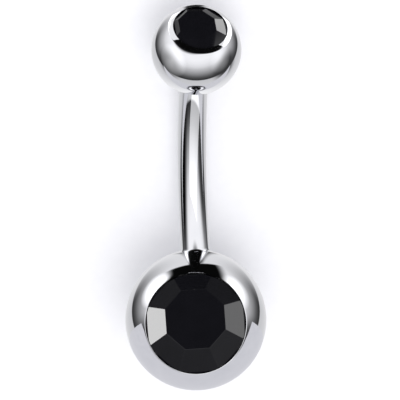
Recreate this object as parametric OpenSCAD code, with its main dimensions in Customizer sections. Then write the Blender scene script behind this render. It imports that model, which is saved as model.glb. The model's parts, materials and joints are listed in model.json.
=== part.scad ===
// Navel ring: a curved bar with a large stone-set ball soldered to one end
// and a small stone-set ball that screws onto the other.
// It lies on the floor as it settles by itself: on both balls, belly down, stones up.
// Millimetres, +Z up, +Y from the small ball to the large one, origin on the floor below the middle.

/* [Bar] */
// Diameter of the bar
bar_d = 1.6; // [1.2:0.1:2]
// Shortest distance between the two balls
ball_gap = 10; // [8:0.5:14]
// Angle that the bar turns through from one ball to the other
bend = 48; // [30:1:52]
// Depth that the bar runs into the large ball
weld_depth = 0.8; // [0.4:0.1:1.5]

/* [Balls] */
// Diameter of the large ball
large_ball_d = 8; // [7:0.5:10]
// Diameter of the small ball
small_ball_d = 5; // [4.5:0.25:6]
// Distance that the large ball sits to one side of the bar's line
large_ball_offset = 0.25; // [0:0.05:0.4]

/* [Thread] */
// Outer diameter of the thread at the end of the bar
thread_d = 1.4; // [1:0.1:1.5]
// Distance from one turn of the thread to the next
thread_pitch = 0.35; // [0.25:0.05:0.4]
// Depth of the thread's groove
thread_depth = 0.16; // [0.1:0.02:0.2]
// Depth that the full bar enters the small ball
socket_depth = 0.4; // [0.2:0.05:0.6]
// Metal left between the threaded hole and the small stone's seat
hole_wall = 0.4; // [0.3:0.05:0.6]

/* [Large stone] */
// Diameter of the large stone
large_stone_d = 5.6; // [5:0.1:6]
// Width of its table, across the flats
large_table_w = 3.32; // [2.6:0.02:3.6]
// Height of its crown, from the girdle to the table
large_crown_h = 0.9; // [0.6:0.05:1.1]
// Depth of its pavilion, from the girdle to the point
large_pavilion_h = 2.1; // [1.6:0.1:2.4]
// Distance that the table is cut off centre
large_table_shift = 0.3; // [0:0.05:0.4]
// Turn of its seat round the bar, out of the plane of the bend
large_seat_turn = 8; // [-10:1:10]
// Tilt of its seat along the bar, away from the bend
large_seat_tilt = 1.5; // [-5:0.5:5]

/* [Small stone] */
// Diameter of the small stone
small_stone_d = 2.95; // [2.4:0.05:3.1]
// Width of its table, across the flats
small_table_w = 2.04; // [1.6:0.02:2.2]
// Height of its crown, from the girdle to the table
small_crown_h = 0.32; // [0.2:0.02:0.4]
// Depth of its pavilion, from the girdle to the point
small_pavilion_h = 1.1; // [0.8:0.1:1.3]
// Distance that the table is cut off centre
small_table_shift = 0.2; // [0:0.02:0.24]
// Tilt of its seat from the line of the thread
small_seat_tilt = 4.3; // [0:0.1:8]
// Direction of that tilt, which is where the small ball has stopped on its thread
small_ball_turn = 138; // [0:1:360]

/* [Stone setting] */
// Number of facets round each crown and each pavilion
facet_count = 8; // [8:1:12]
// Thickness of each stone's girdle
girdle_h = 0.12; // [0.08:0.02:0.2]
// Depth of each girdle below the edge of its seat
girdle_sink = 0.1; // [0.05:0.01:0.15]
// Width of the bevelled ring round the small stone
small_bevel_w = 0.25; // [0.1:0.05:0.3]
// Width of the broken edge round the large stone
large_bevel_w = 0.04; // [0.02:0.01:0.1]
// Slope of both bevels, from level
bevel_angle = 30; // [20:1:34]
// Clearance between a piece and what it sits in
fit = 0.04; // [0.02:0.01:0.06]

/* [Rest] */
// Angle that the piece rolls to one side until its weight balances
balance_lean = 6.5; // [0:0.5:8]

/* [Hidden] */
$fn = 96;

bar_r = bar_d / 2;
large_r = large_ball_d / 2;
small_r = small_ball_d / 2;
thread_r = thread_d / 2;
facet_step = 360 / facet_count;

// The bar is one arc, from weld_depth inside the large ball to its shoulder in the small ball.
// Both ends point at the balls' centres. Here the large ball's centre is the origin,
// and the small ball's centre lies along -Y, in the plane of the bend.
arc_large_end = large_r - weld_depth;
arc_small_end = small_r - socket_depth;
centres_l = ball_gap + large_r + small_r;
centres_y = sqrt(pow(centres_l, 2) - pow(large_ball_offset, 2));
end_drop = (arc_large_end - arc_small_end) * sin(bend / 2);
skew = asin(end_drop / centres_y);
large_slope = bend / 2 - skew;
small_slope = bend / 2 + skew;
chord = sqrt(pow(centres_y, 2) - pow(end_drop, 2)) - (arc_large_end + arc_small_end) * cos(bend / 2);
bend_r = chord / (2 * sin(bend / 2));
bend_centre = [
    -large_ball_offset,
    -arc_large_end * cos(large_slope) - bend_r * sin(large_slope),
    -arc_large_end * sin(large_slope) + bend_r * cos(large_slope)
];
small_centre = [-large_ball_offset, -centres_y, 0];

// A stone's own zero is the centre of its girdle's upper edge.
culet_share = 0.08;
large_culet_r = large_stone_d * culet_share;
small_culet_r = small_stone_d * culet_share;
bevel_rise = tan(bevel_angle);
large_seat_r = large_stone_d / 2 + fit;
small_seat_r = small_stone_d / 2 + fit;
large_rim_h = rim_height(large_r, large_seat_r, large_bevel_w);
small_rim_h = rim_height(small_r, small_seat_r, small_bevel_w);
large_stone_z = large_rim_h - girdle_sink;
small_stone_z = small_rim_h - girdle_sink;

// The thread runs up the small ball's hole, whose end stays hole_wall short of the seat.
tip_gap = 0.15;
hole_end = small_stone_z - girdle_h - small_pavilion_h - fit - hole_wall;
thread_l = arc_small_end + hole_end - tip_gap;
thread_neck = 0.15;
thread_turns = floor((thread_l - 2 * thread_neck) / thread_pitch);

// How the piece lies: the line of centres comes level with -Y, the piece rolls about it,
// and then the small ball drops onto the floor.
yaw = atan(large_ball_offset / centres_y);
pitch = asin((large_r - small_r) / centres_l);
bend_samples = 48;
belly_lean = max([for (i = [0:bend_samples]) lean_to_clear(i / bend_samples)]);
side_lean = max(balance_lean, belly_lean);
lying = turn_x(pitch) * turn_y(-side_lean) * turn_z(yaw);
rest_y = -(large_r + small_end_y()) / 2;

function turn_x(a) = [[1, 0, 0], [0, cos(a), -sin(a)], [0, sin(a), cos(a)]];
function turn_y(a) = [[cos(a), 0, sin(a)], [0, 1, 0], [-sin(a), 0, cos(a)]];
function turn_z(a) = [[cos(a), -sin(a), 0], [sin(a), cos(a), 0], [0, 0, 1]];

// Height of a seat's inner edge above its ball's centre, with the bevel's outer edge on the ball
function rim_height(ball_r, seat_r, bevel_w) =
    sqrt(pow(ball_r, 2) - pow(seat_r + bevel_w, 2)) + bevel_w * bevel_rise;

// Centre of the bar, at a share of its way from the small ball to the large one
function bar_point(share) =
    let (a = -90 - small_slope + share * bend)
    bend_centre + bend_r * [0, cos(a), sin(a)];

// Roll that lifts this point of the bar's underside clear of the floor
function lean_to_clear(share) =
    let (
        p = turn_z(yaw) * bar_point(share),
        depth = norm([p.x, p.z]),
        room = (large_r + p.y * (large_r - small_r) / centres_l - bar_r) / (depth * cos(pitch))
    )
    room >= 1 ? 0 : acos(room) - atan2(p.x, -p.z);

// Table corners of a stone, in its own frame
function table_corners(table_w, crown_h, shift, shift_to) = [
    for (i = [0:facet_count - 1])
        let (a = (i + 0.5) * facet_step, r = table_w / 2 / cos(facet_step / 2))
        [shift * cos(shift_to) + r * cos(a), shift * sin(shift_to) + r * sin(a), crown_h]
];

// How far the small end reaches along -Y, from the large ball's centre, as the piece lies
function small_end_y() =
    let (
        seat = lying * turn_x(90 - small_slope) * seat_turn_small(),
        axis_y = (seat * [0, 0, 1]).y,
        edge_r = small_seat_r + small_bevel_w,
        edge_h = small_rim_h - small_bevel_w * bevel_rise,
        ball_y = -axis_y > edge_h / small_r
            ? edge_h * axis_y - edge_r * sqrt(1 - pow(axis_y, 2))
            : -small_r,
        rim_y = small_rim_h * axis_y - small_seat_r * sqrt(1 - pow(axis_y, 2)),
        corners = table_corners(small_table_w, small_crown_h, small_table_shift, 0),
        table_y = min([for (c = corners) (seat * (c + [0, 0, small_stone_z])).y])
    )
    (lying * small_centre).y + min(ball_y, rim_y, table_y);

function seat_turn_small() = turn_z(small_ball_turn) * turn_y(small_seat_tilt) * turn_z(-small_ball_turn);

// Puts the piece down on the floor, from the large ball's own frame
module lie_down() {
    translate([0, rest_y, large_r]) rotate([pitch, 0, 0]) rotate([0, -side_lean, 0]) rotate([0, 0, yaw])
        children();
}

// The large stone's seat: square to the bar, then turned and tilted
module at_large_seat() {
    rotate([large_slope, 0, 0]) rotate([0, large_seat_turn, 0]) rotate([-large_seat_tilt, 0, 0])
        children();
}

// The small ball's frame: +Z runs out along the thread
module at_small_ball() {
    translate(small_centre) rotate([90 - small_slope, 0, 0])
        children();
}

// The small stone's seat, within the small ball's frame
module at_small_seat() {
    rotate([0, 0, small_ball_turn]) rotate([0, small_seat_tilt, 0]) rotate([0, 0, -small_ball_turn])
        children();
}

// Everything outside a ring of facets that slope from a table down to the girdle at zero height
module facet_cut(stone_r, table_w, height, shift, shift_to) {
    size = 4 * stone_r;
    for (i = [0:facet_count - 1]) {
        a = i * facet_step;
        edge = table_w / 2 + shift * cos(a - shift_to);
        rotate([0, 0, a]) translate([edge, 0, height]) rotate([0, atan2(height, stone_r - edge), 0])
            translate([-size / 2, -size / 2, 0]) cube([size, size, size / 2]);
    }
}

module cut_stone(stone_d, table_w, crown_h, pavilion_h, culet_r, shift, shift_to) {
    difference() {
        translate([0, 0, -girdle_h - pavilion_h]) cylinder(d = stone_d, h = crown_h + girdle_h + pavilion_h);
        facet_cut(stone_d / 2, table_w, crown_h, shift, shift_to);
        translate([0, 0, -girdle_h]) mirror([0, 0, 1])
            facet_cut(stone_d / 2, 2 * culet_r, pavilion_h, 0, 0);
    }
}

// Seat for a stone: a straight wall round the girdle, a cone under the pavilion's ridges,
// and a bevel round the mouth
module seat_cut(stone_d, pavilion_h, culet_r, stone_z, rim_h, bevel_w) {
    stone_r = stone_d / 2;
    ridge = cos(facet_step / 2);
    ridge_drop = pavilion_h * stone_r * (1 - ridge) / (stone_r - culet_r);
    floor_z = stone_z - girdle_h - pavilion_h - fit;
    reach = stone_r;
    rotate_extrude()
        polygon([
            [0, floor_z],
            [culet_r / ridge + fit, floor_z],
            [stone_r + fit, stone_z - girdle_h - ridge_drop],
            [stone_r + fit, rim_h],
            [stone_r + fit + bevel_w + reach, rim_h - (bevel_w + reach) * bevel_rise],
            [stone_r + fit + bevel_w + reach, rim_h + stone_d],
            [0, rim_h + stone_d]
        ]);
}

// Threaded end: a neck at the shoulder, ring grooves with flat crests, and a tapered tip
module thread() {
    root_r = thread_r - thread_depth;
    crest = thread_pitch / 4;
    start = thread_neck;
    finish = start + thread_turns * thread_pitch;
    rotate_extrude()
        polygon(concat(
            [[0, -thread_neck], [root_r, -thread_neck]],
            [for (i = [0:thread_turns - 1]) each [
                [root_r, start + i * thread_pitch],
                [thread_r, start + i * thread_pitch + crest],
                [thread_r, start + i * thread_pitch + 2 * crest],
                [root_r, start + i * thread_pitch + 3 * crest]
            ]],
            [
                [root_r, finish],
                [root_r, thread_l - thread_neck / 2],
                [root_r - thread_neck / 2, thread_l],
                [0, thread_l]
            ]
        ));
}

module curved_bar() {
    color("silver") lie_down() {
        difference() {
            sphere(r = large_r);
            at_large_seat()
                seat_cut(large_stone_d, large_pavilion_h, large_culet_r,
                    large_stone_z, large_rim_h, large_bevel_w);
        }
        translate(bend_centre) rotate([90, 0, 90]) rotate([0, 0, -90 - small_slope])
            rotate_extrude(angle = bend) translate([bend_r, 0]) circle(r = bar_r);
        at_small_ball() translate([0, 0, -arc_small_end]) thread();
    }
}

module small_ball() {
    color("silver") lie_down() at_small_ball() difference() {
        sphere(r = small_r);
        at_small_seat()
            seat_cut(small_stone_d, small_pavilion_h, small_culet_r,
                small_stone_z, small_rim_h, small_bevel_w);
        translate([0, 0, -small_r - 1]) cylinder(r = bar_r + fit, h = 1 + socket_depth + fit);
        translate([0, 0, -small_r]) cylinder(r = thread_r + fit, h = small_r + hole_end);
    }
}

module large_stone() {
    color("#14141a") lie_down() at_large_seat() translate([0, 0, large_stone_z])
        cut_stone(large_stone_d, large_table_w, large_crown_h, large_pavilion_h, large_culet_r,
            large_table_shift, -90);
}

module small_stone() {
    color("#14141a") lie_down() at_small_ball() at_small_seat() translate([0, 0, small_stone_z])
        cut_stone(small_stone_d, small_table_w, small_crown_h, small_pavilion_h, small_culet_r,
            small_table_shift, 0);
}

curved_bar();
small_ball();
large_stone();
small_stone();
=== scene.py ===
import json
import math

import bmesh
import bpy
from mathutils import Matrix, Vector


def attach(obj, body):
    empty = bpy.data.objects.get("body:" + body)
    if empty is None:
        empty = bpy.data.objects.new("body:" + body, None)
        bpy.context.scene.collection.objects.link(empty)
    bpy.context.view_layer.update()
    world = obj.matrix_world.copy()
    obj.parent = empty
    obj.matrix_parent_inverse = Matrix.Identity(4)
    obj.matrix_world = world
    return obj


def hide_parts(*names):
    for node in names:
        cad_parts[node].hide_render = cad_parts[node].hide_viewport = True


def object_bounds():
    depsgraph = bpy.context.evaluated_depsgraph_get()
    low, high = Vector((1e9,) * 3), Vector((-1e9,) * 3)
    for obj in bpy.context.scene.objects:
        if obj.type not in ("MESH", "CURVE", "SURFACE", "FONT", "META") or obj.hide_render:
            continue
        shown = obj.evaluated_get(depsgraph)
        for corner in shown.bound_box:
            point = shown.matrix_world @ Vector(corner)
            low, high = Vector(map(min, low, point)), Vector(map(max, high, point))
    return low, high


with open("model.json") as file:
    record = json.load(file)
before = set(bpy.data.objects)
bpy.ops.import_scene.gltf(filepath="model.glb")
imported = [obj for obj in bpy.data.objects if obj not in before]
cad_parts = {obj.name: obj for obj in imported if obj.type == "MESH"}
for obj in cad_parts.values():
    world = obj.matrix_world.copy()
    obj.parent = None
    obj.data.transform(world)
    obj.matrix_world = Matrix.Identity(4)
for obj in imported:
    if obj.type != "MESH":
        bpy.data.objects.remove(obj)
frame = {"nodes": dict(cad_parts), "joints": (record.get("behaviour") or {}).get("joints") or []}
cadLow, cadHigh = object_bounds()
print("Frame loaded with", ", ".join(sorted(frame["nodes"])))

mm = 0.001

# What the pieces share, in millimetres and degrees
ring = {
    "largeBallR": 4.0,
    "smallBallR": 2.5,
    "ballGap": 10.0,
    "bend": 48.0,           # turn of the bar from one ball to the other
    "weldDepth": 0.8,       # how far the bar runs into the large ball
    "socketDepth": 0.4,     # how far its shoulder enters the small ball
    "largeBallAside": 0.25,
    "roll": 6.5,            # lean at which it balances on its two balls
    "fit": 0.04,            # clearance between a piece and what it sits in
    "bevelSlope": 30.0,     # of the ring round each stone
    "girdle": 0.12,         # height of each stone's round edge
    "girdleSink": 0.1,      # depth of each girdle below the edge of its seat
    "culetShare": 0.16,     # of the stone's radius
    "facets": 8,
    "holeWall": 0.4,        # steel left between the screw hole and the stone's seat
    "tipGap": 0.15,         # from the bar's tip to the hole's end
    "near": 0.0005,         # points closer than this are one
}

# Each table is ground off centre by tableAside towards asideTo; bevelW is the ring's width round the stone
largeStone = {"r": 2.8, "tableW": 3.32, "crown": 0.9, "pavilion": 2.1, "tableAside": 0.3, "asideTo": -90,
              "softEdge": 0.012, "bevelW": 0.04}
smallStone = {"r": 1.475, "tableW": 2.04, "crown": 0.32, "pavilion": 1.1, "tableAside": 0.2, "asideTo": 0,
              "softEdge": 0.01, "bevelW": 0.25}


def turn(degrees, axis):
    return Matrix.Rotation(math.radians(degrees), 4, axis)


def shift(x, y, z):
    return Matrix.Translation((x, y, z))


def rimHeight(ballR, stone):
    # the edge of a stone's seat, above the ball's centre
    edgeR = stone["r"] + ring["fit"] + stone["bevelW"]
    return math.sqrt(ballR ** 2 - edgeR ** 2) + stone["bevelW"] * math.tan(math.radians(ring["bevelSlope"]))


def layOut():
    # where the balls and the bend lie, worked out as a drawing would: flat first, then laid down
    aside = ring["largeBallAside"]
    largeEnd = ring["largeBallR"] - ring["weldDepth"]
    smallEnd = ring["smallBallR"] - ring["socketDepth"]
    centres = ring["ballGap"] + ring["largeBallR"] + ring["smallBallR"]
    along = math.sqrt(centres ** 2 - aside ** 2)
    half = math.radians(ring["bend"] / 2)
    drop = (largeEnd - smallEnd) * math.sin(half)
    skew = math.degrees(math.asin(drop / along))
    largeSlope, smallSlope = ring["bend"] / 2 - skew, ring["bend"] / 2 + skew
    chord = math.sqrt(along ** 2 - drop ** 2) - (largeEnd + smallEnd) * math.cos(half)
    bendR = chord / (2 * math.sin(half))
    slope = math.radians(largeSlope)
    pitch = math.degrees(math.asin((ring["largeBallR"] - ring["smallBallR"]) / centres))
    yaw = math.degrees(math.atan(aside / along))
    lying = (shift(0, cadHigh.y / mm - ring["largeBallR"], ring["largeBallR"])
             @ turn(pitch, "X") @ turn(-ring["roll"], "Y") @ turn(yaw, "Z"))
    bendCentre = shift(
        -aside,
        -largeEnd * math.cos(slope) - bendR * math.sin(slope),
        -largeEnd * math.sin(slope) + bendR * math.cos(slope))
    return {
        "largeBall": lying @ turn(largeSlope, "X"),
        "smallBall": lying @ shift(-aside, -along, 0) @ turn(90 - smallSlope, "X"),
        "bend": lying @ bendCentre @ turn(90, "Z") @ turn(90, "X") @ turn(-90 - smallSlope, "Z"),
        "bendR": bendR,
        "shoulder": -smallEnd,
        "holeEnd": (rimHeight(ring["smallBallR"], smallStone) - ring["girdleSink"] - ring["girdle"]
                    - smallStone["pavilion"] - ring["fit"] - ring["holeWall"]),
    }


place = layOut()
threadLine = place["smallBall"].to_3x3() @ Vector((0, 0, 1))
jointLine = Vector(frame["joints"][0]["axis"])
print("Thread's line is off the joint's by %.4f degrees" % math.degrees(threadLine.angle(jointLine)))


def linear(hexColour):
    channels = [int(hexColour[i:i + 2], 16) / 255 for i in (1, 3, 5)]
    return [c / 12.92 if c <= 0.04045 else ((c + 0.055) / 1.055) ** 2.4 for c in channels] + [1.0]


def addNode(tree, kind, settings, links=None):
    # settings are the node's own properties or its sockets' values, links go to its sockets
    node = tree.nodes.new(kind)
    for key, value in settings.items():
        if isinstance(key, str) and hasattr(node, key):
            setattr(node, key, value)
        else:
            node.inputs[key].default_value = value
    for key, source in (links or {}).items():
        tree.links.new(source, node.inputs[key])
    return node


def newMaterial(name):
    material = bpy.data.materials.new(name)
    material.use_nodes = True
    return material, material.node_tree, material.node_tree.nodes["Principled BSDF"]


def polishedSteel():
    # 316L surgical steel, turned, buffed and mirror polished: a neutral silver mirror, with faint
    # buffing marks and reflections a touch softer in patches
    steel = {
        "colour": "#e9e9ec",
        "worn": "#dedfe3",
        "cloudMm": 1.6,      # patches that the wheel polished a little less
        "markMm": 0.045,     # buffing marks, drawn coarser than the real ones so that they show
        "roughest": 0.055,
        "smoothest": 0.022,
        "markDepthMm": 0.00004,
    }
    material, tree, shader = newMaterial("mirror polished 316L steel")
    spot = addNode(tree, "ShaderNodeTexCoord", {}).outputs["Object"]
    clouds = addNode(tree, "ShaderNodeTexNoise", {"Scale": 1 / (steel["cloudMm"] * mm), "Detail": 3.0},
                     {"Vector": spot})
    marks = addNode(tree, "ShaderNodeTexNoise", {"Scale": 1 / (steel["markMm"] * mm), "Detail": 2.0},
                    {"Vector": spot})
    tint = addNode(tree, "ShaderNodeMix", {
        "data_type": "RGBA", "A": linear(steel["colour"]), "B": linear(steel["worn"])},
        {"Factor": clouds.outputs["Fac"]})
    gloss = addNode(tree, "ShaderNodeMapRange", {
        "From Min": 0.35, "From Max": 0.7, "To Min": steel["smoothest"], "To Max": steel["roughest"]},
        {"Value": clouds.outputs["Fac"]})
    bump = addNode(tree, "ShaderNodeBump", {"Strength": 0.5, "Distance": steel["markDepthMm"] * mm},
                   {"Height": marks.outputs["Fac"]})
    shader.inputs["Metallic"].default_value = 1.0
    tree.links.new(tint.outputs["Result"], shader.inputs["Base Color"])
    tree.links.new(gloss.outputs["Result"], shader.inputs["Roughness"])
    tree.links.new(bump.outputs["Normal"], shader.inputs["Normal"])
    return material


def blackGlass():
    # jet black glass, machine cut and tin polished: flat facets that mirror the light weakly,
    # each a shade of its own, with the depth of glass and no see-through
    glass = {
        "colour": "#0e0e11",
        "cloud": "#141418",
        "cloudMm": 0.9,
        "roughest": 0.03,
        "smoothest": 0.008,
        "ior": 1.5,
    }
    material, tree, shader = newMaterial("cut and polished black glass")
    spot = addNode(tree, "ShaderNodeTexCoord", {}).outputs["Object"]
    clouds = addNode(tree, "ShaderNodeTexNoise", {"Scale": 1 / (glass["cloudMm"] * mm), "Detail": 4.0},
                     {"Vector": spot})
    tint = addNode(tree, "ShaderNodeMix", {
        "data_type": "RGBA", "A": linear(glass["colour"]), "B": linear(glass["cloud"])},
        {"Factor": clouds.outputs["Fac"]})
    gloss = addNode(tree, "ShaderNodeMapRange", {
        "From Min": 0.3, "From Max": 0.7, "To Min": glass["smoothest"], "To Max": glass["roughest"]},
        {"Value": clouds.outputs["Fac"]})
    shader.inputs["IOR"].default_value = glass["ior"]
    tree.links.new(tint.outputs["Result"], shader.inputs["Base Color"])
    tree.links.new(gloss.outputs["Result"], shader.inputs["Roughness"])
    return material


def ringTo(bm, edges, around, radius, height):
    # extrudes an open ring and sets the new one to this radius and height in the frame "around"
    made = bmesh.ops.extrude_edge_only(bm, edges=edges)["geom"]
    back = around.inverted()
    for v in made:
        if isinstance(v, bmesh.types.BMVert):
            p = back @ v.co
            p.xy = p.xy.normalized() * radius
            p.z = height
            v.co = around @ p
    return [e for e in made if isinstance(e, bmesh.types.BMEdge) and len(e.link_faces) == 1]


def cutThread(bm, sizes, around):
    # one groove's profile, carried up a helix and cut level at both ends: flank, crest, flank and
    # root take a quarter of the pitch each
    pitch, root, crest = sizes["pitch"], sizes["rootR"], sizes["crestR"]
    stepsATurn = 64
    turns = math.ceil((sizes["top"] - sizes["bottom"]) / pitch) + 2
    low = sizes["bottom"] - pitch
    coil = bmesh.new()
    corners = [(root, 0), (crest, 1), (crest, 2), (root, 3), (root, 4)]
    profile = [coil.verts.new((r, 0, low + quarters * pitch / 4)) for r, quarters in corners]
    lines = [coil.edges.new(pair) for pair in zip(profile, profile[1:])]
    bmesh.ops.spin(coil, geom=profile + lines, cent=(0, 0, 0), axis=(0, 0, 1),
                   dvec=(0, 0, pitch / stepsATurn), angle=2 * math.pi * turns, steps=stepsATurn * turns)
    near = pitch / 500
    bmesh.ops.remove_doubles(coil, verts=coil.verts, dist=near)
    for height, side in ((sizes["bottom"], -1), (sizes["top"], 1)):
        bmesh.ops.bisect_plane(coil, geom=coil.verts[:] + coil.edges[:] + coil.faces[:], dist=near / 10,
                               plane_co=(0, 0, height), plane_no=(0, 0, side), clear_outer=True)
    bmesh.ops.transform(coil, matrix=around, verts=coil.verts)
    rims = joinTo(bm, coil)
    back = around.inverted()
    middle = (sizes["bottom"] + sizes["top"]) / 2
    return ([e for e in rims if (back @ e.verts[0].co).z < middle],
            [e for e in rims if (back @ e.verts[0].co).z > middle])


def joinTo(bm, part):
    # adds a part made in a bmesh of its own, and gives the edges on its open rims
    older = set(bm.edges)
    mesh = bpy.data.meshes.new("part")
    part.to_mesh(mesh)
    part.free()
    bm.from_mesh(mesh)
    bpy.data.meshes.remove(mesh)
    return [e for e in bm.edges if e not in older and len(e.link_faces) == 1]


def spunBall(ballR, stone, sizes):
    # half a section, drawn from the bottom pole round to the seat's middle, then spun about the seat
    bm = bmesh.new()
    seatR = stone["r"] + ring["fit"]
    edgeR = seatR + stone["bevelW"]
    rimH = rimHeight(ballR, stone)
    girdleH = rimH - ring["girdleSink"] - ring["girdle"]
    floorH = girdleH - stone["pavilion"] - ring["fit"]
    ridge = math.cos(math.pi / ring["facets"])      # the pavilion's ridges stand out beyond its facets
    floorR = stone["r"] * ring["culetShare"] / ridge + ring["fit"]
    wallH = girdleH - stone["pavilion"] * (1 - ridge) / (1 - ring["culetShare"])
    pole = bm.verts.new((0, 0, -ballR))
    arc = bmesh.ops.spin(bm, geom=[pole], cent=(0, 0, 0), axis=(0, -1, 0),
                         angle=math.pi - math.asin(edgeR / ballR), steps=sizes["rings"])
    last = next(v for v in arc["geom_last"] if isinstance(v, bmesh.types.BMVert))
    for x, z in ((seatR, rimH), (seatR, wallH), (floorR, floorH), (0, floorH)):
        new = bm.verts.new((x, 0, z))
        bm.edges.new((last, new))
        last = new
    bmesh.ops.spin(bm, geom=bm.verts[:] + bm.edges[:], cent=(0, 0, 0), axis=(0, 0, 1),
                   angle=2 * math.pi, steps=sizes["segments"], use_merge=True)
    bmesh.ops.remove_doubles(bm, verts=bm.verts, dist=ring["near"])
    bmesh.ops.recalc_face_normals(bm, faces=bm.faces)
    aboveStone, rimAngle = girdleH + ring["girdle"] / 2, math.radians(15)
    rims = [e for e in bm.edges if all(v.co.z > aboveStone for v in e.verts)
            and len(e.link_faces) == 2 and e.calc_face_angle() > rimAngle]
    bmesh.ops.bevel(bm, geom=rims, offset=sizes["softEdge"], offset_type="OFFSET", affect="EDGES",
                    segments=3, profile=0.5, material=-1)
    return bm


def capOff(bm, around, height):
    # cuts the ball level at this height of the frame "around", and gives the open ring
    normal = around.to_3x3() @ Vector((0, 0, 1))
    cut = bmesh.ops.bisect_plane(bm, geom=bm.verts[:] + bm.edges[:] + bm.faces[:], dist=ring["near"],
                                 plane_co=around @ Vector((0, 0, height)), plane_no=normal, clear_inner=True)
    return [e for e in cut["geom_cut"] if isinstance(e, bmesh.types.BMEdge)]


def meshObject(bm, name, material):
    mesh = bpy.data.meshes.new(name)
    bm.to_mesh(mesh)
    bm.free()
    mesh.materials.append(material)
    thing = bpy.data.objects.new(name, mesh)
    bpy.context.scene.collection.objects.link(thing)
    return thing


def finishPiece(bm, name, material, body, node, sharpFrom=28):
    # creases sharper than sharpFrom degrees stay crisp
    bmesh.ops.transform(bm, matrix=Matrix.Scale(mm, 4), verts=bm.verts)
    bmesh.ops.recalc_face_normals(bm, faces=bm.faces)
    for face in bm.faces:
        face.smooth = True
    openEdges = 0
    for edge in bm.edges:
        if len(edge.link_faces) != 2:
            openEdges += 1
        elif edge.calc_face_angle() > math.radians(sharpFrom):
            edge.smooth = False
    volume = bm.calc_volume() / mm ** 3
    piece = meshObject(bm, name, material)
    weighted = piece.modifiers.new("Weighted Normal", "WEIGHTED_NORMAL")
    weighted.keep_sharp = True
    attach(piece, body)
    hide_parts(node)
    print("%s: %d faces, %d open edges, %.1f cubic mm" % (name, len(piece.data.polygons), openEdges, volume))


def solderedBar(steel):
    ball = {"rings": 128, "segments": 256, "softEdge": 0.012, "turn": 8.0, "tilt": 1.5}    # the seat's
    bar = {
        "r": 0.8,
        "segments": 96,
        "steps": 120,
        "chamfer": 0.04,     # on the shoulder's edge
        "solder": 0.07,      # how far the fillet of solder runs along the bar
        "footing": 0.021,    # how far it runs over the ball
        "swell": 0.0175,     # how far it stands out from the bar at swellAt
        "swellAt": 0.0245,
        "neck": 0.15,
        "taper": 0.075,
        "plainEnd": 0.1125,  # from where the thread has run out to the tip
    }
    thread = {"pitch": 0.35, "rootR": 0.54, "crestR": 0.7, "turns": 5}
    ballR, bendR = ring["largeBallR"], place["bendR"]
    atSeat = place["largeBall"] @ turn(ball["turn"], "Y") @ turn(-ball["tilt"], "X")
    bm = spunBall(ballR, largeStone, ball)
    bmesh.ops.transform(bm, matrix=atSeat, verts=bm.verts)

    # the bar's frame where it enters the ball, +Z running into the ball
    meet = math.sqrt(ballR ** 2 - bar["r"] ** 2) - (ballR - ring["weldDepth"])
    meetTurn = ring["bend"] - math.degrees(meet / bendR)
    atMeet = place["bend"] @ turn(meetTurn, "Z") @ shift(bendR, 0, 0) @ turn(-90, "X")
    mouth = capOff(bm, atMeet, bar["footing"])

    # the bar itself: a circle carried along the arc
    startTurn = math.degrees(bar["chamfer"] / bendR)
    endTurn = meetTurn - math.degrees(bar["solder"] / bendR)
    circle = bmesh.ops.create_circle(bm, segments=bar["segments"], radius=bar["r"])["verts"]
    atStart = place["bend"] @ turn(startTurn, "Z") @ shift(bendR, 0, 0) @ turn(-90, "X")
    bmesh.ops.transform(bm, matrix=atStart, verts=circle)
    first = list({e for v in circle for e in v.link_edges})
    swept = bmesh.ops.spin(
        bm, geom=circle + first, cent=place["bend"].translation,
        axis=place["bend"].to_3x3() @ Vector((0, 0, 1)),
        angle=math.radians(endTurn - startTurn), steps=bar["steps"])["geom_last"]
    last = [e for e in swept if isinstance(e, bmesh.types.BMEdge)]
    last = ringTo(bm, last, atMeet, bar["r"] + bar["swell"], -bar["swellAt"])
    bmesh.ops.bridge_loops(bm, edges=last + mouth)

    # the threaded end, with its shoulder, neck and tapered tip
    at, shoulder = place["smallBall"], place["shoulder"]
    low = shoulder + bar["neck"]
    bottom, top = cutThread(bm, {**thread, "bottom": low, "top": low + thread["turns"] * thread["pitch"]}, at)
    tip = place["holeEnd"] - ring["tipGap"]
    edge = ringTo(bm, first, at, bar["r"] - bar["chamfer"], shoulder)
    edge = ringTo(bm, edge, at, thread["rootR"], shoulder)
    edge = ringTo(bm, edge, at, thread["rootR"], low - bar["neck"] / 2)
    bmesh.ops.bridge_loops(bm, edges=edge + bottom)
    edge = ringTo(bm, top, at, thread["rootR"], tip - bar["plainEnd"])
    edge = ringTo(bm, edge, at, thread["rootR"], tip - bar["taper"])
    edge = ringTo(bm, edge, at, thread["rootR"] - bar["taper"], tip)
    bmesh.ops.edgeloop_fill(bm, edges=edge)
    finishPiece(bm, "soldered_bar", steel, "bar", "curved_bar")
    return atSeat @ shift(0, 0, rimHeight(ballR, largeStone) - ring["girdleSink"])


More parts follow.
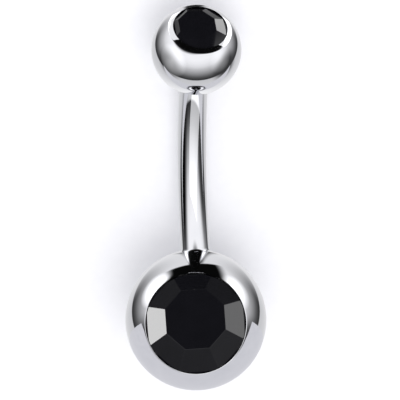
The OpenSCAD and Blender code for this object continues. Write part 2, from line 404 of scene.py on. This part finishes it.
def screwBall(steel):
    ball = {"rings": 96, "segments": 224, "softEdge": 0.014, "turn": 138.0, "tilt": 4.3}    # the seat's
    hole = {
        "mouthR": 0.84,      # the recess for the bar's shoulder
        "chamfer": 0.03,
        "depth": 0.44,
        "leadIn": 0.05,      # plain wall before the thread
        "runOut": 0.2,       # and after it
        "fade": 0.05,        # length in which each end of the thread fades into the wall
    }
    thread = {"pitch": 0.35, "rootR": 0.74, "crestR": 0.79}
    ballR, holeEnd, at = ring["smallBallR"], place["holeEnd"], place["smallBall"]
    atSeat = at @ turn(ball["turn"], "Z") @ turn(ball["tilt"], "Y") @ turn(-ball["turn"], "Z")
    bm = spunBall(ballR, smallStone, ball)
    bmesh.ops.transform(bm, matrix=atSeat, verts=bm.verts)
    mouthR = hole["mouthR"] + hole["chamfer"]
    mouthH = -math.sqrt(ballR ** 2 - mouthR ** 2)
    edge = capOff(bm, at, mouthH)
    floorH = hole["depth"] - ballR
    edge = ringTo(bm, edge, at, hole["mouthR"], mouthH + hole["chamfer"])
    edge = ringTo(bm, edge, at, hole["mouthR"], floorH)
    edge = ringTo(bm, edge, at, thread["rootR"], floorH)
    low, high = floorH + hole["leadIn"], holeEnd - hole["runOut"]
    edge = ringTo(bm, edge, at, thread["rootR"], low)
    bottom, top = cutThread(bm, {**thread, "bottom": low + hole["fade"], "top": high - hole["fade"]}, at)
    bmesh.ops.bridge_loops(bm, edges=edge + bottom)
    edge = ringTo(bm, top, at, thread["rootR"], high)
    edge = ringTo(bm, edge, at, thread["rootR"], holeEnd)
    bmesh.ops.edgeloop_fill(bm, edges=edge)
    finishPiece(bm, "screw_ball", steel, "screw_ball", "small_ball")
    return atSeat @ shift(0, 0, rimHeight(ballR, smallStone) - ring["girdleSink"])


def cutStone(cut, at, name, glass, body, node):
    # a round bar of glass, whose facets are ground off one by one: on each side the crown's, then the
    # pavilion's below it
    sides, near = 160, 1e-5
    bm = bmesh.new()
    crown, depth, r = cut["crown"], cut["pavilion"], cut["r"]
    tall = crown + ring["girdle"] + depth
    bmesh.ops.create_cone(bm, cap_ends=True, segments=sides, radius1=r, radius2=r, depth=tall,
                          matrix=shift(0, 0, crown - tall / 2))
    for i in range(ring["facets"]):
        a = 2 * math.pi * i / ring["facets"]
        out = Vector((math.cos(a), math.sin(a), 0))
        reach = cut["tableW"] / 2 + cut["tableAside"] * math.cos(a - math.radians(cut["asideTo"]))
        for top, edgeR, high in ((1, reach, crown), (-1, r * ring["culetShare"], depth)):
            base = 0 if top == 1 else -ring["girdle"]
            normal = (out * high + Vector((0, 0, top * (r - edgeR)))).normalized()
            sliced = bmesh.ops.bisect_plane(
                bm, geom=bm.verts[:] + bm.edges[:] + bm.faces[:], dist=near,
                plane_co=out * edgeR + Vector((0, 0, base + top * high)), plane_no=normal, clear_outer=True)
            rim = [e for e in sliced["geom_cut"] if isinstance(e, bmesh.types.BMEdge)]
            bmesh.ops.edgeloop_fill(bm, edges=rim)
    bmesh.ops.recalc_face_normals(bm, faces=bm.faces)
    crownUp, ridgeAngle = 0.3, math.radians(8)
    ridges = [e for e in bm.edges if all(f.normal.z > crownUp for f in e.link_faces)
              and e.calc_face_angle() > ridgeAngle]
    bmesh.ops.bevel(bm, geom=ridges, offset=cut["softEdge"], offset_type="OFFSET", affect="EDGES",
                    segments=2, profile=0.5, material=-1)
    bmesh.ops.transform(bm, matrix=at, verts=bm.verts)
    finishPiece(bm, name, glass, body, node, sharpFrom=20)


def paperFloor():
    # matt white background paper, uncoated: an even pale ground with a trace of fibre
    paper = {"colour": "#f4f4f6", "fibre": "#efeff2", "fibreMm": 0.6, "size": 4.0}
    material, tree, shader = newMaterial("matt white background paper")
    spot = addNode(tree, "ShaderNodeTexCoord", {}).outputs["Object"]
    fibres = addNode(tree, "ShaderNodeTexNoise", {"Scale": 1 / (paper["fibreMm"] * mm), "Detail": 4.0},
                     {"Vector": spot})
    tint = addNode(tree, "ShaderNodeMix", {
        "data_type": "RGBA", "A": linear(paper["colour"]), "B": linear(paper["fibre"])},
        {"Factor": fibres.outputs["Fac"]})
    tree.links.new(tint.outputs["Result"], shader.inputs["Base Color"])
    shader.inputs["Roughness"].default_value = 1.0
    shader.inputs["Specular IOR Level"].default_value = 0.0
    bm = bmesh.new()
    bmesh.ops.create_grid(bm, x_segments=8, y_segments=8, size=paper["size"])
    floor = meshObject(bm, "paper_floor", material)
    floor.visible_glossy = False    # the polished steel mirrors the studio alone


def addCamera():
    # the photograph's angle to the ring, fitted to its outline, in millimetres and degrees
    view = {
        "aim": (-0.233, 0.203, 3.0),
        "azimuth": 4.426,
        "elevation": 61.14,
        "roll": 175.32,
        "distance": 287.9,
        "lens": 460.89,
        "sensor": 36.0,
        "clip": 10.0,
    }
    a, e = math.radians(view["azimuth"]), math.radians(view["elevation"])
    toward = Vector((math.sin(a) * math.cos(e), -math.cos(a) * math.cos(e), math.sin(e)))
    data = bpy.data.cameras.new("camera")
    data.lens = view["lens"]
    data.sensor_width = view["sensor"]
    data.clip_start = view["clip"] * mm
    camera = bpy.data.objects.new("camera", data)
    upright = (-toward).to_track_quat("-Z", "Y").to_matrix().to_4x4()
    where = (Vector(view["aim"]) + toward * view["distance"]) * mm
    camera.matrix_world = Matrix.Translation(where) @ upright @ turn(view["roll"], "Z")
    bpy.context.scene.collection.objects.link(camera)
    bpy.context.scene.camera = camera
    return camera


def offLine(camera, at):
    # the direction that lies this many degrees right and up of the camera's line
    off, aside = math.radians(math.hypot(*at)), math.atan2(at[1], at[0])
    return camera.matrix_world.to_3x3().normalized() @ Vector((
        math.sin(off) * math.cos(aside), math.sin(off) * math.sin(aside), math.cos(off)))


def buildStudio(camera):
    # A plain white tent with a dark opening for the lens. Angles are degrees off the camera's line:
    # "at" is (right, up) of it, "half" and "round" reach from there to a panel's rim, and
    # brightness is against a white card of 1.
    studio = {
        "tentAxis": (0, 33.5),      # the ramp gives the tent's brightness by the angle from it
        "tentRamp": {0: 1.1, 62: 1.15, 72: 1.05, 81: 0.88, 88: 0.64, 96: 0.44, 102: 0.3, 108: 0.16,
                     113: 0.085, 120: 0.03, 121.5: 0.7, 140: 0.76, 158: 0.92, 180: 1.1},
        "panels": {
            # light for the large ball's top, the lens's opening, and the dark arch over the stone
            "overhead": {"at": (0, 138), "half": (32, 34), "edge": (20, 10), "light": 0.88},
            "opening": {"at": (-3, 42), "round": 54, "edge": 4, "light": 0.01},
            "gap": {"at": (6, 59), "half": (38, 47), "edge": (8, 1.5), "light": 0.003},
            "gapAbove": {"at": (0, 134), "half": (7, 26), "edge": (2.5, 4), "light": 0.03},
            # the two dark lines along the bar
            "sideLeft": {"at": (-77, -41), "round": 25, "edge": 14, "light": 0.001},
            "sideRight": {"at": (84, -46), "round": 24, "edge": 12, "light": 0.05},
            # toned spots for the large stone's upper facets
            "flagLeft": {"at": (-66.2, 52.6), "round": 2.6, "edge": 0.8, "light": 0.2},
            "flagRight": {"at": (57.2, 61.2), "round": 2.6, "edge": 0.8, "light": 0.1},
        },
        "tentTint": (1, 1, 1.01, 1),    # a trace of blue
        "ambient": "#f6f6f8",
        "ambientLight": 1.1,
    }
    headroom = 2.0      # a ramp's colours end at 1, so they are divided by this and multiplied after
    world = bpy.data.worlds.new("white tent")
    world.use_nodes = True
    bpy.context.scene.world = world
    tree = world.node_tree
    tree.nodes.clear()
    look = addNode(tree, "ShaderNodeTexCoord", {}).outputs["Generated"]
    upward = offLine(camera, (0, 90))

    def towards(at):
        # turns the studio so that this direction is +Z
        direction = offLine(camera, at)
        side = upward.cross(direction).normalized()
        turned = Matrix((side, direction.cross(side), direction))
        local = addNode(tree, "ShaderNodeVectorRotate", {
            "rotation_type": "EULER_XYZ", "Rotation": turned.to_euler()}, {"Vector": look})
        return addNode(tree, "ShaderNodeSeparateXYZ", {}, {"Vector": local.outputs["Vector"]}).outputs

    def degrees(kind, settings, links):
        angle = addNode(tree, "ShaderNodeMath", {"operation": kind, **settings}, links).outputs[0]
        return addNode(tree, "ShaderNodeMath", {"operation": "MULTIPLY", 1: math.degrees(1)},
                       {0: angle}).outputs[0]

    def inside(angle, half, edge):
        size = addNode(tree, "ShaderNodeMath", {"operation": "ABSOLUTE"}, {0: angle}).outputs[0]
        return addNode(tree, "ShaderNodeMapRange", {
            "interpolation_type": "SMOOTHSTEP", "From Min": half + edge, "From Max": half - edge},
            {"Value": size}).outputs["Result"]

    off = degrees("ARCCOSINE", {}, {0: towards(studio["tentAxis"])["Z"]})
    share = addNode(tree, "ShaderNodeMath", {"operation": "DIVIDE", 1: 180.0}, {0: off})
    ramp = addNode(tree, "ShaderNodeValToRGB", {}, {"Fac": share.outputs[0]})
    steps = list(studio["tentRamp"].items())
    ramp.color_ramp.elements[0].position, ramp.color_ramp.elements[1].position = 0, 1
    for angle, _ in steps[1:-1]:
        ramp.color_ramp.elements.new(angle / 180)
    for element, (angle, light) in zip(ramp.color_ramp.elements, steps):
        element.position = angle / 180
        element.color = (light / headroom, light / headroom, light / headroom, 1)
    light = addNode(tree, "ShaderNodeMath", {"operation": "MULTIPLY", 1: headroom},
                    {0: ramp.outputs["Color"]}).outputs[0]
    for name, panel in studio["panels"].items():
        x, y, z = towards(panel["at"])
        if "round" in panel:
            mask = inside(degrees("ARCCOSINE", {}, {0: z}), panel["round"], panel["edge"])
        else:
            across = inside(degrees("ARCTAN2", {}, {0: x, 1: z}), panel["half"][0], panel["edge"][0])
            upDown = inside(degrees("ARCSINE", {}, {0: y}), panel["half"][1], panel["edge"][1])
            mask = addNode(tree, "ShaderNodeMath", {"operation": "MULTIPLY"},
                           {0: across, 1: upDown}).outputs[0]
        light = addNode(tree, "ShaderNodeMix", {"data_type": "FLOAT", "B": panel["light"]},
                        {"A": light, "Factor": mask}).outputs["Result"]
    tent = addNode(tree, "ShaderNodeBackground", {"Color": studio["tentTint"]}, {"Strength": light})
    # polished pieces mirror the tent, and matt ones are lit by a plain white room
    plain = addNode(tree, "ShaderNodeBackground", {
        "Color": linear(studio["ambient"]), "Strength": studio["ambientLight"]})
    path = addNode(tree, "ShaderNodeLightPath", {})
    firstHit = addNode(tree, "ShaderNodeMath", {"operation": "LESS_THAN", 1: 0.5},
                       {0: path.outputs["Diffuse Depth"]})
    mirrored = addNode(tree, "ShaderNodeMath", {"operation": "MULTIPLY"},
                       {0: path.outputs["Is Glossy Ray"], 1: firstHit.outputs[0]})
    both = addNode(tree, "ShaderNodeMixShader", {}, {
        0: mirrored.outputs[0], 1: plain.outputs[0], 2: tent.outputs[0]})
    addNode(tree, "ShaderNodeOutputWorld", {}, {"Surface": both.outputs[0]})


def whiteCard():
    # stands behind the large ball, and only mirrors see it: no lamp lights it, it glows with painted light of
    # its own, and gives the polished balls the light lower side that a white table gives
    card = {"r": 80.0, "high": 9.5, "behind": 0.35, "fibreMm": 2.0, "paper": "#e2e2e8", "fibre": "#eeeef2",
            "light": 0.92}
    material, tree, shader = newMaterial("white card glowing with painted light")
    spot = addNode(tree, "ShaderNodeTexCoord", {}).outputs["Object"]
    fibres = addNode(tree, "ShaderNodeTexNoise", {"Scale": 1 / (card["fibreMm"] * mm)}, {"Vector": spot})
    # painted light: the card's glow takes the colour of white paper, flecked like its fibres
    tint = addNode(tree, "ShaderNodeMix", {
        "data_type": "RGBA", "A": linear(card["paper"]), "B": linear(card["fibre"])},
        {"Factor": fibres.outputs["Fac"]})
    # no colour of its own: all of the card's brightness is painted light, emitted rather than lit
    shader.inputs["Base Color"].default_value = linear("#000000")
    shader.inputs["Specular IOR Level"].default_value = 0.0
    shader.inputs["Emission Strength"].default_value = card["light"]
    tree.links.new(tint.outputs["Result"], shader.inputs["Emission Color"])
    back = cadHigh.y / mm + card["behind"]
    bm = bmesh.new()
    bmesh.ops.create_circle(bm, cap_ends=True, segments=128, radius=card["r"])
    bmesh.ops.transform(bm, matrix=shift(0, back, card["high"] - card["r"]) @ turn(90, "X"), verts=bm.verts)
    bmesh.ops.bisect_plane(bm, geom=bm.verts[:] + bm.edges[:] + bm.faces[:], plane_co=(0, 0, 0),
                           plane_no=(0, 0, 1), clear_inner=True)
    bmesh.ops.transform(bm, matrix=Matrix.Scale(mm, 4), verts=bm.verts)
    sheet = meshObject(bm, "white_card", material)
    sheet.visible_camera = sheet.visible_diffuse = sheet.visible_shadow = False


def softBox(camera, name, box, piece):
    # a soft box that only one piece mirrors; "at" and "half" are degrees, right and up of the
    # camera's line, and the light fades towards the rim where it has a spread
    away = 280.0        # mm from the ring
    toward = offLine(camera, box["at"])
    wide, high = [2 * away * math.tan(math.radians(angle)) for angle in box["half"]]
    data = bpy.data.lights.new(name, "AREA")
    data.shape = "RECTANGLE"
    data.size, data.size_y = wide * mm, high * mm
    data.energy = box["light"] * math.pi * data.size * data.size_y
    data.spread = math.radians(box.get("spread", 180))
    light = bpy.data.objects.new(name, data)
    light.location = toward * away * mm
    light.rotation_euler = toward.to_track_quat("Z", "Y").to_euler()
    light.visible_camera = light.visible_diffuse = False
    bpy.context.scene.collection.objects.link(light)
    receivers = bpy.data.collections.new(name + " lights")
    receivers.objects.link(bpy.data.objects[piece])
    light.light_linking.receiver_collection = receivers


def addSkylight():
    # a large lamp above, for the soft shadow on the paper; in metres and watts
    lamp = {"at": (-0.06, 0.05, 0.42), "size": 0.36, "power": 0.5}
    data = bpy.data.lights.new("soft_skylight", "AREA")
    data.shape = "DISK"
    data.size = lamp["size"]
    data.energy = lamp["power"]
    light = bpy.data.objects.new("soft_skylight", data)
    light.location = lamp["at"]
    light.rotation_euler = (-Vector(lamp["at"])).to_track_quat("-Z", "Y").to_euler()
    light.visible_glossy = False
    bpy.context.scene.collection.objects.link(light)


steel, glass = polishedSteel(), blackGlass()
atLargeStone = solderedBar(steel)
atSmallStone = screwBall(steel)
cutStone(largeStone, atLargeStone, "large_black_stone", glass, "bar", "large_stone")
cutStone(smallStone, atSmallStone, "small_black_stone", glass, "screw_ball", "small_stone")
print("Pieces made")

camera = addCamera()
paperFloor()
addSkylight()
whiteCard()
boxes = {       # by the piece that mirrors them
    "large_black_stone": {
        "left_box": {"at": (-76.6, -10.4), "half": (8, 8), "light": 13.2},
        "right_box": {"at": (76.3, 0.3), "half": (8, 8), "light": 2.0},
    },
    "small_black_stone": {
        "upper_box": {"at": (70.7, 75.6), "half": (8, 8), "light": 5.6},
    },
    "screw_ball": {
        "bevel_left_box": {"at": (-47, 72), "half": (18, 30), "light": 1.05},
        "bevel_right_box": {"at": (70, 60), "half": (18, 30), "light": 0.98},
        "ball_left_box": {"at": (-66, -30), "half": (40, 40), "light": 0.092, "spread": 76},
        "ball_right_box": {"at": (66, -28), "half": (32, 32), "light": 0.033, "spread": 60},
    },
    "soldered_bar": {
        "bar_strip": {"at": (15, -64), "half": (29, 35), "light": 0.6},
        "rim_left_box": {"at": (-76, 56), "half": (26, 26), "light": 0.1, "spread": 48},
        "rim_right_box": {"at": (74, 52), "half": (26, 26), "light": 0.068, "spread": 48},
    },
}
for piece, itsBoxes in boxes.items():
    for name, box in itsBoxes.items():
        softBox(camera, name, box, piece)
buildStudio(camera)
bpy.context.scene.view_settings.view_transform = "Standard"
print("Studio built")
